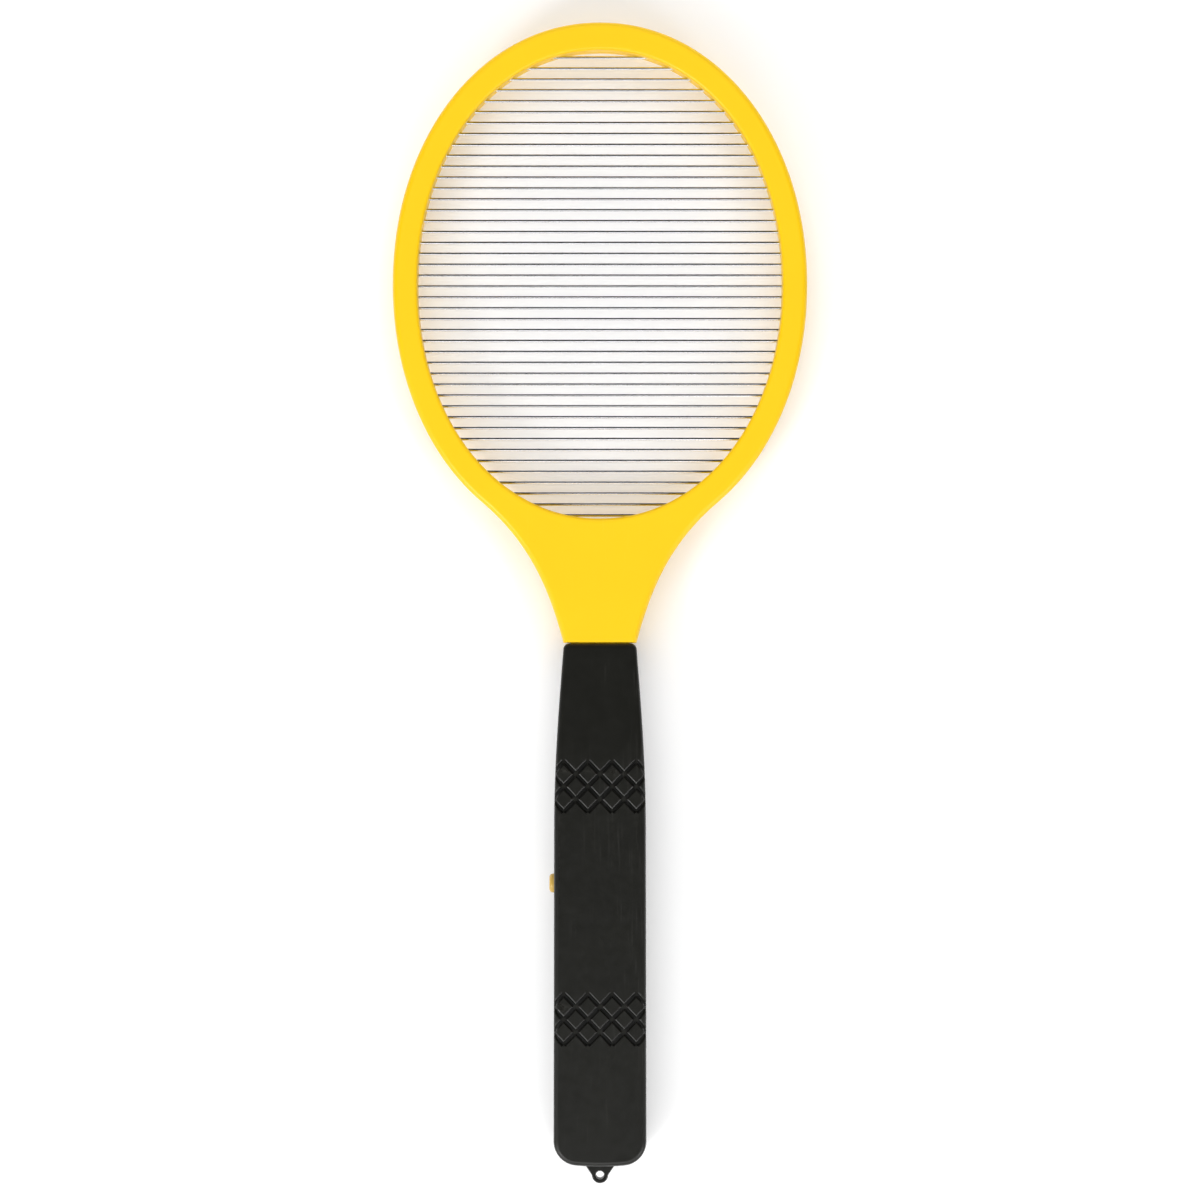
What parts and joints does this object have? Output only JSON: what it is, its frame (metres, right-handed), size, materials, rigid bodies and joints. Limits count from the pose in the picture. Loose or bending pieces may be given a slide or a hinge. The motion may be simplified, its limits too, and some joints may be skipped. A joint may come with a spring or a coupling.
{
  "type": "electric fly swatter",
  "caption": "Racket-shaped electric fly swatter: an oval yellow frame strung with straight metal rods on a black battery handle with a side push button and a sliding battery door.",
  "frame": {"origin": "on the resting plane, under the middle of the whole object", "axes": "+Y runs from the handle to the tip of the head, +Z comes out of the front face, and +X is to the right seen from the front"},
  "size_m": [0.1642, 0.46, 0.024],
  "materials": {
    "yellow_plastic": "satin",
    "black_plastic": "satin",
    "gold_plastic": "satin",
    "bright_rod": "polished",
    "screw_steel": "satin",
    "spring_steel": "satin",
    "board_laminate": "matte",
    "ferrite": "matte",
    "winding_tape": "satin",
    "capacitor_red": "gloss",
    "ceramic_blue": "satin",
    "part_black": "satin",
    "resistor_tan": "satin",
    "cell_jacket": "satin",
    "lead_red": "satin",
    "lead_black": "satin",
    "lead_white": "satin",
    "plunger_white": "satin"
  },
  "bodies": {
    "swatter": {"head_front_frame": "yellow_plastic", "head_back_frame": "yellow_plastic", "handle_front_shell": "black_plastic", "handle_back_shell": "black_plastic", "rods_live": "bright_rod", "rods_return": "bright_rod", "frame_screw_1": "screw_steel", "frame_screw_2": "screw_steel", "frame_screw_3": "screw_steel", "frame_screw_4": "screw_steel", "frame_screw_5": "screw_steel", "frame_screw_6": "screw_steel", "handle_screw_1": "screw_steel", "handle_screw_2": "screw_steel", "handle_screw_3": "screw_steel", "handle_screw_4": "screw_steel", "board_screw_1": "screw_steel", "board_screw_2": "screw_steel", "switch_spring": "spring_steel", "battery_spring_left": "spring_steel", "battery_spring_right": "spring_steel", "contact_link_plate": "spring_steel", "contact_positive_plate": "spring_steel", "contact_negative_plate": "spring_steel", "circuit_board": "board_laminate", "transformer_core": "ferrite", "transformer_winding": "winding_tape", "film_capacitor": "capacitor_red", "ceramic_capacitor_1": "ceramic_blue", "ceramic_capacitor_2": "ceramic_blue", "hv_diode_1": "part_black", "hv_diode_2": "part_black", "hv_diode_3": "part_black", "hv_diode_4": "part_black", "transistor": "part_black", "switch_body": "part_black", "resistor_1": "resistor_tan", "resistor_2": "resistor_tan", "resistor_3": "resistor_tan", "battery_left": "cell_jacket", "battery_right": "cell_jacket", "hv_lead_live": "lead_red", "battery_lead_red": "lead_red", "battery_lead_black": "lead_black", "hv_lead_return": "lead_white"},
    "button": {"push_button": "gold_plastic", "switch_plunger": "plunger_white"},
    "door": {"battery_door": "black_plastic"}
  },
  "joints": [
    {"name": "button_press", "type": "slide", "parent": "swatter", "child": "button", "axis": [1, 0, 0], "range_m": [0, 0.0012], "stiffness_N_per_m": 600, "springref_m": -0.0008, "deforming": ["switch_spring"]},
    {"name": "battery_door_slide", "type": "slide", "parent": "swatter", "child": "door", "axis": [0, -1, 0], "range_m": [0, 0.062]}
  ]
}
